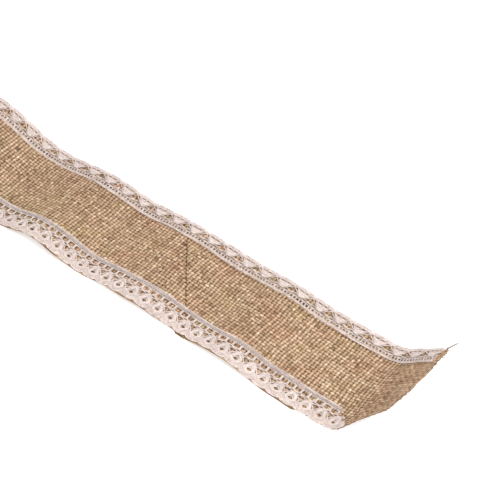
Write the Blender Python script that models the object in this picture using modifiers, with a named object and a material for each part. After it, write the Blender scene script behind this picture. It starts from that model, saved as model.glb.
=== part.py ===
"""Burlap table runner with a cotton lace trim sewn along each long edge.

The runner lies loosely: it touches the table on flat stretches, rises in low waves between them, and
curls up at one raw cut end. It is sewn from two lengths of burlap, joined by a bias seam whose
allowances are turned under. Metres, +Z up, +X towards the curled end, +Y towards the narrow lace.

Each piece is drawn on the flat cloth first, in three cloth coordinates, and then laid on the waves:
    u  distance along the cloth from the curled end
    t  distance across it from the middle, towards the narrow lace
    h  height above the underside of the burlap
"""
import math

import bpy
import numpy as np

# ---- driving dimensions, in metres ---------------------------------------------------------------
LENGTH = 0.914                 # a 36 inch runner, cut size along its middle
BURLAP_WIDTH = 0.106
BURLAP_THICKNESS = 0.0011
WIDE_LACE_WIDTH = 0.0265       # the lace along -Y
NARROW_LACE_WIDTH = 0.0190     # the same lace along +Y, drawn out as it was sewn
WIDE_LACE_REPEAT = 0.0150      # one motif along the lace
NARROW_LACE_REPEAT = 0.0207
LACE_THICKNESS = 0.0008
LACE_OVERHANG = 0.0020         # the scallops stand this far out past the burlap
WIDE_SCALLOP_DEPTH = 0.0015
NARROW_SCALLOP_DEPTH = 0.0010
THREAD_DIAMETER = 0.0006       # sewing thread
STITCH_INSET = 0.0020          # from each edge of the lace to its row of stitches
SEAM_MIDDLE = 0.248            # from the curled end to the bias seam, along the middle
SEAM_SLANT = 0.82              # metres along the cloth for each metre across it
SEAM_ALLOWANCE = 0.009
SEAM_THREAD_DIAMETER = 0.0008
TAIL_LENGTH = 0.0120           # the twisted end of the narrow lace's outer cord
TAIL_DIAMETER = 0.0016
LOOSE_YARN_LENGTH = 0.004
LOOSE_YARN_DIAMETER = 0.0011
GAP = 0.0003                   # between pieces that touch
THREAD_GAP = 0.0004            # under a stitched thread, which spans the waves in short straights
FOLD_RADIUS = 0.0002           # inside the turned seam allowance

# ---- how the cloth lies --------------------------------------------------------------------------
# Each wave: middle, half length, height at the wide lace, height at the narrow lace.
WAVES = (
    (0.162, 0.045, 0.0065, 0.0025),
    (0.270, 0.062, 0.0050, 0.0010),
    (0.382, 0.055, 0.0095, 0.0055),
    (0.535, 0.095, 0.0140, 0.0250),
    (0.720, 0.060, 0.0090, 0.0120),
)
END_LIFT = (0.080, 0.0080, 0.0050)     # plain end: length, height at the wide and the narrow lace
CURL_LENGTH = 0.062
# The curl across the cloth: place, distance over which it steepens, steepest angle in degrees.
CURL = (
    (-0.055, 0.033, 54.0),
    (-0.030, 0.042, 47.0),
    (0.030, 0.038, 42.0),
    (0.055, 0.026, 37.0),
)
# The bow of the whole runner: distance along it, sideways shift.
BOW = ((0.080, -0.0025), (0.270, 0.0025), (0.500, 0.0020), (0.880, -0.0060))
RIDGE_FLAT = 0.012             # the cloth rides over the seam allowances this far each side
RIDGE_TAPER = 0.032

# ---- the raw cut at the curled end ---------------------------------------------------------------
CUT_BULGE = 0.008              # the middle of the cut stands this far out past its corners
CUT_SLANT = 0.06               # metres along for each metre across
CUT_CORNER_WIDTH = 0.025       # the corner by the wide lace is cut away
CUT_CORNER_LENGTH = 0.030
WIDE_LACE_CUT = (0.052, 0.025)         # where that lace ends, at its inner and its outer edge
NARROW_LACE_CUT = (-0.001, -0.002)

# ---- mesh fineness -------------------------------------------------------------------------------
TABLE_STEP = 0.001             # spacing of the stations at which the lie of the cloth is worked out
CURLED_STEP = 0.005            # rows of the short length
CUT_ROWS = 0.045               # its rows follow the raw cut this far from the curled end
LACE_CUT_ROWS = 0.075          # and the rows of a lace follow that lace's cut this far
PLAIN_STEP = 0.008             # rows of the long length
SCALLOP_ROWS = 4               # rows of a lace for each repeat
LACE_COLUMN_STEP = 0.011       # columns of a lace, and of the burlap under it
THREAD_STEP = 0.010

PLAIN_END = LENGTH - CUT_BULGE
HALF_WIDTH = BURLAP_WIDTH / 2
EDGE_ROW = HALF_WIDTH - STITCH_INSET
LACE_EDGE = HALF_WIDTH + LACE_OVERHANG
WIDE_INNER = -(LACE_EDGE - WIDE_LACE_WIDTH)
NARROW_INNER = LACE_EDGE - NARROW_LACE_WIDTH
LACE_BASE = BURLAP_THICKNESS + GAP
RIDGE_HEIGHT = BURLAP_THICKNESS + 2 * FOLD_RADIUS


def seam_u(t):
    """Where the bias seam crosses the cloth at t."""
    return SEAM_MIDDLE + SEAM_SLANT * t


def cut_u(t):
    """The raw cut at the curled end: slanted, bulging and with one corner cut away in a curve."""
    into_corner = np.clip((-HALF_WIDTH + CUT_CORNER_WIDTH - t) / CUT_CORNER_WIDTH, 0, 1)
    bulge = CUT_BULGE * (1 - (t / HALF_WIDTH)**2)
    return CUT_CORNER_LENGTH * into_corner**1.3 - CUT_SLANT * t - bulge


def ease(f):
    """0 to 1 with level ends."""
    return 0.5 - 0.5 * np.cos(math.pi * np.clip(f, 0, 1))


def across(t, wide, narrow):
    """A height that changes evenly from the wide lace's side to the narrow lace's side."""
    return wide + (narrow - wide) * (t + LACE_EDGE) / (2 * LACE_EDGE)


def wave_height(u, t):
    """Height of the waves, the seam ridge and the lifted plain end."""
    height = np.zeros(np.broadcast(u, t).shape)
    for middle, half, wide, narrow in WAVES:
        height = height + across(t, wide, narrow) * ease(1 - abs(u - middle) / half)
    lift_length, wide, narrow = END_LIFT
    height = height + across(t, wide, narrow) * ease((u - PLAIN_END + lift_length) / lift_length)
    off_seam = abs(u - seam_u(t))
    return height + RIDGE_HEIGHT * ease((RIDGE_FLAT + RIDGE_TAPER - off_seam) / RIDGE_TAPER)


def curl_angle(u, t):
    """Slope of the curling end, in radians: it steepens away from the flat stretch."""
    places, lengths, angles = (np.array(column) for column in zip(*CURL))
    return np.radians(np.interp(t, places, angles)) * ease(
        (CURL_LENGTH - u) / np.interp(t, places, lengths))


def bow(u):
    """Sideways shift of the runner at u."""
    shift = np.full(np.shape(u), BOW[0][1])
    for (start, before), (end, after) in zip(BOW, BOW[1:]):
        shift = shift + (after - before) * ease((u - start) / (end - start))
    return shift


class Lie:
    """The underside of the burlap as it lies, worked out once on a grid of stations.

    Cloth doesn't stretch, so the ground that it covers is less than its length wherever it slopes.
    """

    def __init__(self):
        self.u = np.arange(-0.040, PLAIN_END + 0.010, TABLE_STEP)
        self.t = np.linspace(-LACE_EDGE - 0.010, LACE_EDGE + 0.010, 27)
        u, t = np.meshgrid(self.u, self.t, indexing="ij")
        waves = wave_height(u, t)
        curl_rise = np.sin(curl_angle(u, t))
        slope = -np.gradient(waves, TABLE_STEP, axis=0) + curl_rise
        covered = np.sqrt(np.clip(1 - slope**2, 0.05, 1))
        x = -self.summed(covered)
        x -= x[np.searchsorted(self.u, PLAIN_END / 2)]
        rise = -self.summed(curl_rise)
        z = waves + rise - rise[-1]
        self.place = np.stack([x, t + bow(u), z], axis=-1)
        along = np.gradient(self.place, self.u, axis=0)
        sideways = np.gradient(self.place, self.t, axis=1)
        normal = np.cross(sideways, along)
        self.normal = normal / np.linalg.norm(normal, axis=-1, keepdims=True)

    @staticmethod
    def summed(values):
        """Running integral along u."""
        middles = 0.5 * (values[1:] + values[:-1]) * TABLE_STEP
        return np.concatenate([np.zeros((1, values.shape[1])), np.cumsum(middles, axis=0)])

    def __call__(self, flat):
        """Cloth coordinates (u, t, h) to a point in space."""
        u, t, h = np.asarray(flat, dtype=float).T
        row = np.clip((u - self.u[0]) / TABLE_STEP, 0, len(self.u) - 1.001)
        column = np.clip((t - self.t[0]) / (self.t[1] - self.t[0]), 0, len(self.t) - 1.001)
        i, j = row.astype(int), column.astype(int)
        f, g = (row - i)[:, None], (column - j)[:, None]

        def read(table):
            near = table[i, j] * (1 - g) + table[i, j + 1] * g
            far = table[i + 1, j] * (1 - g) + table[i + 1, j + 1] * g
            return near * (1 - f) + far * f

        return read(self.place) + read(self.normal) * h[:, None]


# ---- small tools ---------------------------------------------------------------------------------
def linear(hex_colour):
    """An sRGB hex colour as the linear values that a shader takes."""
    channels = (int(hex_colour[k:k + 2], 16) / 255 for k in (1, 3, 5))
    return tuple(c / 12.92 if c <= 0.04045 else ((c + 0.055) / 1.055)**2.4 for c in channels)


def finish(obj, colour, roughness):
    """Gives a piece its own cloth or thread material."""
    material = bpy.data.materials.new(obj.name)
    material.use_nodes = True
    shader = material.node_tree.nodes["Principled BSDF"]
    shader.inputs["Base Color"].default_value = (*linear(colour), 1)
    shader.inputs["Roughness"].default_value = roughness
    shader.inputs["Metallic"].default_value = 0.0
    obj.data.materials.append(material)


def keep(obj, name):
    """Names a piece and moves it to the runner's collection."""
    obj.name = name
    obj.data.name = name
    for collection in list(obj.users_collection):
        collection.objects.unlink(obj)
    runner.objects.link(obj)
    return obj


def strip(name, rows, columns, place, thickness):
    """A sheet of rows by columns, each vertex at place(row, column), made solid on its upper side."""
    bpy.ops.mesh.primitive_grid_add(
        x_subdivisions=rows - 1, y_subdivisions=columns - 1, size=2, location=(0, 0, 0))
    obj = keep(bpy.context.object, name)
    vertices = obj.data.vertices
    flat = [place(round((1 - v.co.x) / 2 * (rows - 1)), round((v.co.y + 1) / 2 * (columns - 1)))
            for v in vertices]
    vertices.foreach_set("co", lie(flat).ravel())
    obj.data.update()
    solid = obj.modifiers.new("thickness", "SOLIDIFY")
    solid.thickness = thickness
    solid.offset = 1
    return obj


def thread(name, flat, diameter, end_scale=1.0):
    """A thread along points in cloth coordinates, tapering to its last point by end_scale."""
    curve = bpy.data.curves.new(name, "CURVE")
    curve.dimensions = "3D"
    curve.bevel_depth = diameter / 2
    curve.bevel_resolution = 0
    curve.use_fill_caps = True
    spline = curve.splines.new("POLY")
    spline.points.add(len(flat) - 1)
    for k, (point, place) in enumerate(zip(spline.points, lie(flat))):
        point.co = (*place, 1)
        point.radius = 1 + (end_scale - 1) * k / (len(flat) - 1)
    obj = bpy.data.objects.new(name, curve)
    runner.objects.link(obj)
    return obj


def steps(start, end, spacing):
    """Evenly spaced values from start to end, about spacing apart."""
    return np.linspace(start, end, max(2, round(abs(end - start) / spacing) + 1))


# ---- the pieces ----------------------------------------------------------------------------------
def turned_edge():
    """Section of a seam allowance: (distance from the seam along u, h), from the allowance's raw
    edge, round the fold and out on the underside of the burlap."""
    fold = GAP / 2 + BURLAP_THICKNESS + FOLD_RADIUS
    raw_edge = fold + SEAM_ALLOWANCE
    section = [
        (raw_edge, -2 * FOLD_RADIUS),
        (0.5 * (fold + raw_edge), -2 * FOLD_RADIUS),
        (fold, -2 * FOLD_RADIUS),
        (fold - FOLD_RADIUS, -FOLD_RADIUS),
        (fold, 0.0),
        (raw_edge, 0.0),
    ]
    along_u = math.hypot(1, SEAM_SLANT)       # the seam crosses the cloth at a slant
    return [(off_seam * along_u, h) for off_seam, h in section]


def burlap_columns():
    """Columns across the burlap, which meet the edges of the laces."""
    return [
        -HALF_WIDTH,
        *steps(-EDGE_ROW, WIDE_INNER, LACE_COLUMN_STEP),
        WIDE_INNER / 3,
        NARROW_INNER / 3,
        *steps(NARROW_INNER, EDGE_ROW, LACE_COLUMN_STEP),
        HALF_WIDTH,
    ]


def burlap_short_length():
    """The curled length, from its raw cut to the bias seam."""
    columns, turned = burlap_columns(), turned_edge()
    plain = len(steps(0, SEAM_MIDDLE, CURLED_STEP))

    def place(row, column):
        t = columns[column]
        if row >= plain:
            off_seam, h = turned[::-1][row - plain]
            return seam_u(t) - off_seam, t, h
        first, last = cut_u(0), SEAM_MIDDLE - turned[-1][0]
        u = first + (last - first) * row / plain
        by_cut = max(0, (CUT_ROWS - u) / (CUT_ROWS - first))
        by_seam = max(0, (u - CUT_ROWS) / (last - CUT_ROWS))
        return u + by_cut * (cut_u(t) - first) + by_seam * (seam_u(t) - SEAM_MIDDLE), t, 0.0

    obj = strip("burlap_short_length", plain + len(turned), len(columns), place, BURLAP_THICKNESS)
    finish(obj, "#bc9e82", 0.95)


def burlap_long_length():
    """The long length, from the bias seam to its plain cut end."""
    columns, turned = burlap_columns(), turned_edge()
    plain = len(steps(SEAM_MIDDLE, PLAIN_END, PLAIN_STEP))

    def place(row, column):
        t = columns[column]
        if row < len(turned):
            off_seam, h = turned[row]
            return seam_u(t) + off_seam, t, h
        start = seam_u(t) + turned[-1][0]
        return start + (PLAIN_END - start) * (row - len(turned) + 1) / plain, t, 0.0

    obj = strip("burlap_long_length", len(turned) + plain, len(columns), place, BURLAP_THICKNESS)
    finish(obj, "#bc9e82", 0.95)


def lace(name, inner, repeat, depth, cut, side):
    """A lace trim: a straight heading inside and a scallop for each repeat outside."""
    cut_inner, cut_outer = cut
    last = PLAIN_END - GAP
    rows = SCALLOP_ROWS * round((last - cut_outer) / repeat) + 1
    columns = [t for t in burlap_columns() if abs(inner) <= side * t <= EDGE_ROW]
    columns = sorted([*columns, side * LACE_EDGE])

    def place(row, column):
        t = columns[column]
        u = cut_outer + (last - cut_outer) * row / (rows - 1)
        inwards = (side * LACE_EDGE - t) / (side * LACE_EDGE - inner)
        by_cut = max(0, (LACE_CUT_ROWS - u) / (LACE_CUT_ROWS - cut_outer))
        if abs(t) == LACE_EDGE:
            off_crest = 2 * (row % SCALLOP_ROWS) / SCALLOP_ROWS - 1
            t -= side * depth * (1 - math.sqrt(1 - off_crest**2))
        return u + by_cut * inwards * (cut_inner - cut_outer), t, LACE_BASE

    obj = strip(name, rows, len(columns), place, LACE_THICKNESS)
    finish(obj, "#e6d6cb", 0.9)


def stitches(name, t, start):
    """One row of lockstitch along a lace, drawn as its needle thread."""
    h = LACE_BASE + LACE_THICKNESS + THREAD_GAP + THREAD_DIAMETER / 2
    flat = [(u, t, h) for u in steps(start, PLAIN_END - STITCH_INSET, THREAD_STEP)]
    finish(thread(name, flat, THREAD_DIAMETER), "#efe3d8", 0.8)


def lace_trims():
    """Both laces and the two rows of stitches that hold each."""
    lace("wide_lace_trim", WIDE_INNER, WIDE_LACE_REPEAT, WIDE_SCALLOP_DEPTH, WIDE_LACE_CUT, -1)
    lace("narrow_lace_trim", NARROW_INNER, NARROW_LACE_REPEAT, NARROW_SCALLOP_DEPTH,
         NARROW_LACE_CUT, 1)
    for lace_name, inner, side, cut in (
            ("wide_lace", WIDE_INNER, -1, WIDE_LACE_CUT),
            ("narrow_lace", NARROW_INNER, 1, NARROW_LACE_CUT)):
        stitches(f"{lace_name}_heading_stitches", inner + side * STITCH_INSET,
                 cut[0] + STITCH_INSET)
        stitches(f"{lace_name}_edge_stitches", side * EDGE_ROW, cut[1] + 3 * STITCH_INSET)


def bias_seam_stitches():
    """The thread that shows along the seam, sunk a little between the two turned edges."""
    h = BURLAP_THICKNESS + SEAM_THREAD_DIAMETER / 4
    ends = (WIDE_INNER + STITCH_INSET, NARROW_INNER - STITCH_INSET)
    flat = [(seam_u(t), t, h) for t in steps(*ends, THREAD_STEP / 2)]
    finish(thread("bias_seam_stitches", flat, SEAM_THREAD_DIAMETER), "#7b5c40", 0.85)


def loose_ends():
    """The twisted tail of the narrow lace's outer cord, and one yarn that has worked out of the cut."""
    h = LACE_BASE + LACE_THICKNESS / 2
    start = NARROW_LACE_CUT[1] - 2 * GAP
    edge = LACE_EDGE - TAIL_DIAMETER
    flat = [(start - TAIL_LENGTH * f, edge + 0.0035 * f, h + 0.0030 * f)
            for f in steps(0, 1, 0.125)]
    finish(thread("narrow_lace_cord_tail", flat, TAIL_DIAMETER, 0.35), "#b9aca2", 0.9)
    t = NARROW_INNER + 0.35 * NARROW_LACE_WIDTH
    start = float(cut_u(t)) - 2 * GAP
    flat = [(start - LOOSE_YARN_LENGTH * f, t + 0.0010 * f, BURLAP_THICKNESS / 2 - 0.0005 * f**2)
            for f in steps(0, 1, 0.2)]
    finish(thread("loose_burlap_yarn", flat, LOOSE_YARN_DIAMETER, 0.5), "#a08a70", 0.95)


def stand_on_origin():
    """Puts the bottom centre of the whole runner on the origin, by way of one parent."""
    bpy.context.view_layer.update()
    graph = bpy.context.evaluated_depsgraph_get()
    corners = []
    for obj in runner.objects:
        solid = obj.evaluated_get(graph)
        mesh = solid.to_mesh()
        corners += [vertex.co.copy() for vertex in mesh.vertices]
        solid.to_mesh_clear()
    low = [min(c[k] for c in corners) for k in range(3)]
    high = [max(c[k] for c in corners) for k in range(3)]
    parent = bpy.data.objects.new("runner_origin", None)
    parent.location = (-(low[0] + high[0]) / 2, -(low[1] + high[1]) / 2, 0)
    for obj in list(runner.objects):
        obj.parent = parent
    runner.objects.link(parent)


for old in list(bpy.data.objects):
    bpy.data.objects.remove(old)
runner = bpy.data.collections.new("burlap_table_runner")
bpy.context.scene.collection.children.link(runner)
lie = Lie()
burlap_short_length()
burlap_long_length()
lace_trims()
bias_seam_stitches()
loose_ends()
stand_on_origin()
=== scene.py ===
# %% [markdown]
# # A burlap table runner with lace along both edges
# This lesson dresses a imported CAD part. The part already says how big the runner is and how it lies,
# so every thread below is drawn on flat cloth first and is then laid on that shape.

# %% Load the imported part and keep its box
import math

import bpy
import numpy as np
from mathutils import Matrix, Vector


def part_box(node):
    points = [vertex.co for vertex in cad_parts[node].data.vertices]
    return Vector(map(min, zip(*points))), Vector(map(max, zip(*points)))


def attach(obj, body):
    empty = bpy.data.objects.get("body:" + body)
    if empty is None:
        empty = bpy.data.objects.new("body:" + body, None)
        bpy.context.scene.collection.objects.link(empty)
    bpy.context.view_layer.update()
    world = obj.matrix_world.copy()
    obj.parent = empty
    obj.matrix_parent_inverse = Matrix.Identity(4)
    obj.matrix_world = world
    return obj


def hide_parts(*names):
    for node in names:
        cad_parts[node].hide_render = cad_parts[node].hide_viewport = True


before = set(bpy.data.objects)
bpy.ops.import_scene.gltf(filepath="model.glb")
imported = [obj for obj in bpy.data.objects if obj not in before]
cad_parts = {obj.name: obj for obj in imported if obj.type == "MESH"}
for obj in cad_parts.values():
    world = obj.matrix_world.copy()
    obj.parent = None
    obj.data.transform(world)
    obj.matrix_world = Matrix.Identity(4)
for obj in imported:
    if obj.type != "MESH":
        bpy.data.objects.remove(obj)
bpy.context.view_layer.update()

# %% [markdown]
# ## The sizes of the runner
# A maker writes the cut sizes down before anything is sewn. These are the part's own sizes, in metres,
# so that the cloth below fits the CAD exactly. Two lengths of burlap meet at a slanted seam, and a
# wide and a narrow lace cover the long edges.

# %% The cut sizes
LENGTH = 0.914
BURLAP_WIDTH = 0.106
BURLAP_THICKNESS = 0.0011
WIDE_LACE_WIDTH = 0.0265
NARROW_LACE_WIDTH = 0.0190
LACE_OVERHANG = 0.0020         # the scallops stand this far out past the burlap
SEAM_MIDDLE = 0.248            # from the curled end to the seam, along the middle
SEAM_SLANT = 0.82              # metres along the cloth for each metre across it
GAP = 0.0003                   # between pieces that touch
FOLD_RADIUS = 0.0002           # inside the fold at the seam
CUT_BULGE = 0.008              # the middle of the raw cut stands this far out past its corners
CUT_SLANT = 0.06               # metres along for each metre across
CUT_CORNER_WIDTH = 0.025       # the corner by the wide lace is cut away
CUT_CORNER_LENGTH = 0.030
CUT_CORNER_CURVE = 1.3         # a power: at 1 the corner would be cut straight
WIDE_LACE_CUT = (0.052, 0.025)         # where it ends at the curled end: its inner and its outer edge
NARROW_LACE_CUT = (-0.001, -0.002)

PLAIN_END = LENGTH - CUT_BULGE
HALF_WIDTH = BURLAP_WIDTH / 2
LACE_EDGE = HALF_WIDTH + LACE_OVERHANG
WIDE_INNER = -(LACE_EDGE - WIDE_LACE_WIDTH)
NARROW_INNER = LACE_EDGE - NARROW_LACE_WIDTH
LACE_BASE = BURLAP_THICKNESS + GAP
MM = 0.001
print("runner, flat:", LENGTH, "by", 2 * LACE_EDGE, "metres")

# %% [markdown]
# ## How the cloth lies
# The real runner was thrown down loosely. It rises in low waves, touches the table between them, and
# curls up at its raw end. Cloth hardly stretches, so a simulation isn't needed to find its shape: the
# height along the cloth is enough, and the ground covered is what is left of the length. The shape is
# worked out once on a fine grid of stations, in three cloth coordinates: u runs along the cloth from the
# curled end, t runs across it, and h is the height above the underside of the burlap.

# %% Waves, curl and bow
WAVES = (                      # middle, half length, height at the wide lace, height at the narrow lace
    (0.162, 0.045, 0.0065, 0.0025),
    (0.270, 0.062, 0.0050, 0.0010),
    (0.382, 0.055, 0.0095, 0.0055),
    (0.535, 0.095, 0.0140, 0.0250),
    (0.720, 0.060, 0.0090, 0.0120),
)
END_LIFT = (0.080, 0.0080, 0.0050)     # plain end: length, height at the wide and the narrow lace
CURL_LENGTH = 0.062
CURL = (                       # place across, length over which it steepens, steepest angle in degrees
    (-0.055, 0.033, 54.0),
    (-0.030, 0.042, 47.0),
    (0.030, 0.038, 42.0),
    (0.055, 0.026, 37.0),
)
BOW = ((0.080, -0.0025), (0.270, 0.0025), (0.500, 0.0020), (0.880, -0.0060))       # place, shift aside
RIDGE_FLAT = 0.012             # the cloth rides over the seam allowances this far each side
RIDGE_TAPER = 0.032
RIDGE_HEIGHT = BURLAP_THICKNESS + 2 * FOLD_RADIUS
print(len(WAVES), "waves, up to", max(max(wave[2:]) for wave in WAVES), "metres high; the end curls to",
      max(angle for *_, angle in CURL), "degrees")

# %% Where the cuts run, and how high the cloth stands
def seam_u(t):
    """Where the bias seam crosses the cloth at t."""
    return SEAM_MIDDLE + SEAM_SLANT * t


def cut_u(t):
    """The raw cut at the curled end: slanted, bulging and with one corner cut away in a curve."""
    into_corner = np.clip((-HALF_WIDTH + CUT_CORNER_WIDTH - t) / CUT_CORNER_WIDTH, 0, 1)
    bulge = CUT_BULGE * (1 - (t / HALF_WIDTH)**2)
    return CUT_CORNER_LENGTH * into_corner**CUT_CORNER_CURVE - CUT_SLANT * t - bulge


def ease(f):
    """0 to 1 with level ends."""
    return 0.5 - 0.5 * np.cos(math.pi * np.clip(f, 0, 1))


def across(t, wide, narrow):
    """A height that changes evenly from the wide lace's side to the narrow lace's side."""
    return wide + (narrow - wide) * (t + LACE_EDGE) / (2 * LACE_EDGE)


def wave_height(u, t):
    """Height of the waves, the seam ridge and the lifted plain end."""
    height = np.zeros(np.broadcast(u, t).shape)
    for middle, half, wide, narrow in WAVES:
        height = height + across(t, wide, narrow) * ease(1 - abs(u - middle) / half)
    lift_length, wide, narrow = END_LIFT
    height = height + across(t, wide, narrow) * ease((u - PLAIN_END + lift_length) / lift_length)
    off_seam = abs(u - seam_u(t))
    return height + RIDGE_HEIGHT * ease((RIDGE_FLAT + RIDGE_TAPER - off_seam) / RIDGE_TAPER)


def curl_angle(u, t):
    """Slope of the curling end, in radians."""
    places, lengths, angles = (np.array(column) for column in zip(*CURL))
    return np.radians(np.interp(t, places, angles)) * ease(
        (CURL_LENGTH - u) / np.interp(t, places, lengths))


def bow(u):
    """Sideways shift of the runner at u."""
    shift = np.full(np.shape(u), BOW[0][1])
    for (start, before), (end, after) in zip(BOW, BOW[1:]):
        shift = shift + (after - before) * ease((u - start) / (end - start))
    return shift


print("the raw cut runs from", *cut_u(np.array([-HALF_WIDTH, HALF_WIDTH])).round(4), "to the seam at",
      *seam_u(np.array([-HALF_WIDTH, HALF_WIDTH])).round(4))

# %% The lie of the cloth, as one table of places and normals
TABLE_STEP = 0.001             # between stations along the cloth
TABLE_COLUMNS = 27             # across it
TABLE_MARGIN = 0.010           # the table reaches this far past the lace and the plain end
BEFORE_CUT = 0.040             # and this far past the curled end, for the loose ends
LEAST_GROUND = 0.05            # squared: a steep stretch still covers some ground
INSIDE = 1.001                 # keeps the last station inside the table


class Lie:
    """Turns cloth coordinates (u, t, h) into places on the laid runner."""

    def __init__(self):
        self.u = np.arange(-BEFORE_CUT, PLAIN_END + TABLE_MARGIN, TABLE_STEP)
        self.t = np.linspace(-LACE_EDGE - TABLE_MARGIN, LACE_EDGE + TABLE_MARGIN, TABLE_COLUMNS)
        u, t = np.meshgrid(self.u, self.t, indexing="ij")
        waves = wave_height(u, t)
        curl_rise = np.sin(curl_angle(u, t))
        slope = -np.gradient(waves, TABLE_STEP, axis=0) + curl_rise
        x = -self.summed(np.sqrt(np.clip(1 - slope**2, LEAST_GROUND, 1)))
        x -= x[np.searchsorted(self.u, PLAIN_END / 2)]
        rise = -self.summed(curl_rise)
        self.place = np.stack([x, t + bow(u), waves + rise - rise[-1]], axis=-1)
        normal = np.cross(np.gradient(self.place, self.t, axis=1),
                          np.gradient(self.place, self.u, axis=0))
        self.normal = normal / np.linalg.norm(normal, axis=-1, keepdims=True)

    @staticmethod
    def summed(values):
        """Running integral along u."""
        middles = 0.5 * (values[1:] + values[:-1]) * TABLE_STEP
        return np.concatenate([np.zeros((1, values.shape[1])), np.cumsum(middles, axis=0)])

    def __call__(self, flat):
        """Places on the laid runner for flat, rows of (u, t, h)."""
        u, t, h = np.asarray(flat, dtype=float).reshape(-1, 3).T
        row = np.clip((u - self.u[0]) / TABLE_STEP, 0, len(self.u) - INSIDE)
        column = np.clip((t - self.t[0]) / (self.t[1] - self.t[0]), 0, len(self.t) - INSIDE)
        i, j = row.astype(int), column.astype(int)
        f, g = (row - i)[:, None], (column - j)[:, None]

        def read(table):
            near = table[i, j] * (1 - g) + table[i, j + 1] * g
            far = table[i + 1, j] * (1 - g) + table[i + 1, j + 1] * g
            return near * (1 - f) + far * f

        return read(self.place) + read(self.normal) * h[:, None]


lie = Lie()
plain_corners = lie([(PLAIN_END, t, 0) for t in np.linspace(-HALF_WIDTH, HALF_WIDTH, 41)])
burlap_low = np.array(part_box("burlap_long_length")[0])
to_frame = np.array([*(burlap_low - plain_corners.min(axis=0))[:2], 0.0])
lie.place += to_frame
print("the lie was moved by", to_frame.round(5), "metres to stand on the CAD's origin")

# %% [markdown]
# ## Threads
# Everything on this runner is thread: jute yarn, lace cord and sewing thread. A curve with a bevel
# would be the usual way, but a round bevel is wrong for a pressed yarn, and thousands of curve objects
# are slow. So one small tool collects flattened tubes in cloth coordinates and makes one mesh of them.
# It also keeps three facts for the materials: the fibre coordinates along and around each thread, its
# tone, and how much painted shade it gets where it is sunk under its neighbours.

# %% A tool that collects threads and makes one mesh of them
NEXT_START = 0.37              # metres along the fibre pattern from one thread's start to the next's
NO_LENGTH = 1e-12              # keeps a division from failing where two points coincide


class Threads:
    """Flattened tubes in cloth coordinates, joined into one piece."""

    def __init__(self, name, sides=6):
        self.name, self.sides, self.count, self.threads = name, sides, 0, 0
        angle = np.arange(sides) * 2 * math.pi / sides
        self.ring = np.stack([np.cos(angle), np.sin(angle)], axis=-1)
        self.points, self.quads, self.caps = [], [], []
        self.fibre, self.tone, self.sunk = [], [], []

    def add(self, path, half_width, half_height, tone=0.5, sunk=0.0, closed=False):
        """One thread along path, an array of (u, t, h)."""
        path = np.asarray(path, dtype=float)
        n = len(path)
        ahead = np.roll(path, -1, axis=0) - np.roll(path, 1, axis=0) if closed else np.gradient(path, axis=0)
        ahead /= np.maximum(np.linalg.norm(ahead, axis=1, keepdims=True), NO_LENGTH)
        side = np.cross(ahead, (0.0, 0.0, 1.0))
        side /= np.maximum(np.linalg.norm(side, axis=1, keepdims=True), NO_LENGTH)
        up = np.cross(side, ahead)
        wide = np.broadcast_to(half_width, n)[:, None, None] * self.ring[None, :, :1]
        high = np.broadcast_to(half_height, n)[:, None, None] * self.ring[None, :, 1:]
        self.points.append((path[:, None] + side[:, None] * wide + up[:, None] * high).reshape(-1, 3))
        along = np.concatenate([[0], np.cumsum(np.linalg.norm(np.diff(path, axis=0), axis=1))])
        self.threads += 1
        fibre = np.stack(np.broadcast_arrays((along + NEXT_START * self.threads)[:, None], wide[..., 0],
                                             high[..., 0]), axis=-1)
        self.fibre.append(fibre.reshape(-1, 3))
        self.tone.append(np.repeat(np.broadcast_to(tone, n), self.sides))
        self.sunk.append(np.repeat(np.broadcast_to(sunk, n), self.sides))
        index = self.count + np.arange(n * self.sides).reshape(n, self.sides)
        if closed:
            index = np.concatenate([index, index[:1]])
        turned = np.roll(index, -1, axis=1)
        quads = np.stack([index[:-1], turned[:-1], turned[1:], index[1:]], axis=-1)
        self.quads.append(quads.reshape(-1, 4))
        if not closed:
            self.caps += [index[0, ::-1], index[-1]]
        self.count += n * self.sides

    def piece(self, material, shape=None):
        """The mesh object, laid on the runner. shape may move the flat points first."""
        flat = np.concatenate(self.points)
        if shape is not None:
            flat = shape(flat)
        quads = np.concatenate(self.quads)
        caps = np.array(self.caps, dtype=int).reshape(-1, self.sides)
        mesh = bpy.data.meshes.new(self.name)
        mesh.vertices.add(len(flat))
        mesh.vertices.foreach_set("co", lie(flat).astype(np.float32).ravel())
        mesh.loops.add(quads.size + caps.size)
        mesh.loops.foreach_set("vertex_index", np.concatenate([quads.ravel(), caps.ravel()]))
        mesh.polygons.add(len(quads) + len(caps))
        starts = np.concatenate([np.arange(len(quads)) * 4,
                                 quads.size + np.arange(len(caps)) * self.sides])
        mesh.polygons.foreach_set("loop_start", starts)
        mesh.update(calc_edges=True)
        mesh.polygons.foreach_set("use_smooth", np.arange(len(starts)) < len(quads))
        for attribute, kind, field, values in (
                ("fibre", "FLOAT_VECTOR", "vector", np.concatenate(self.fibre)),
                ("tone", "FLOAT", "value", np.concatenate(self.tone)),
                ("sunk", "FLOAT", "value", np.concatenate(self.sunk))):
            mesh.attributes.new(attribute, kind, "POINT").data.foreach_set(
                field, values.astype(np.float32).ravel())
        mesh.materials.append(material)
        obj = bpy.data.objects.new(self.name, mesh)
        bpy.context.scene.collection.objects.link(obj)
        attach(obj, "root")
        triangles = 2 * len(quads) + len(caps) * (self.sides - 2)
        print(f"{self.name}: {self.threads} threads, {triangles} triangles")
        return obj


print("threads are tubes of", Threads("example").sides, "sides")

# %% [markdown]
# No yarn is even. Its thickness, colour and path wander slowly, and they also change where it crosses
# the next yarn. Both changes are drawn from seeded numbers, so that each run gives the same cloth.

# %% Uneven yarn
WAVE_SHARES = (1.0, 0.61, 0.37)        # three waves whose crests never line up for long
WAVE_SUM = 1.3                         # about what the three reach together


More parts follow.
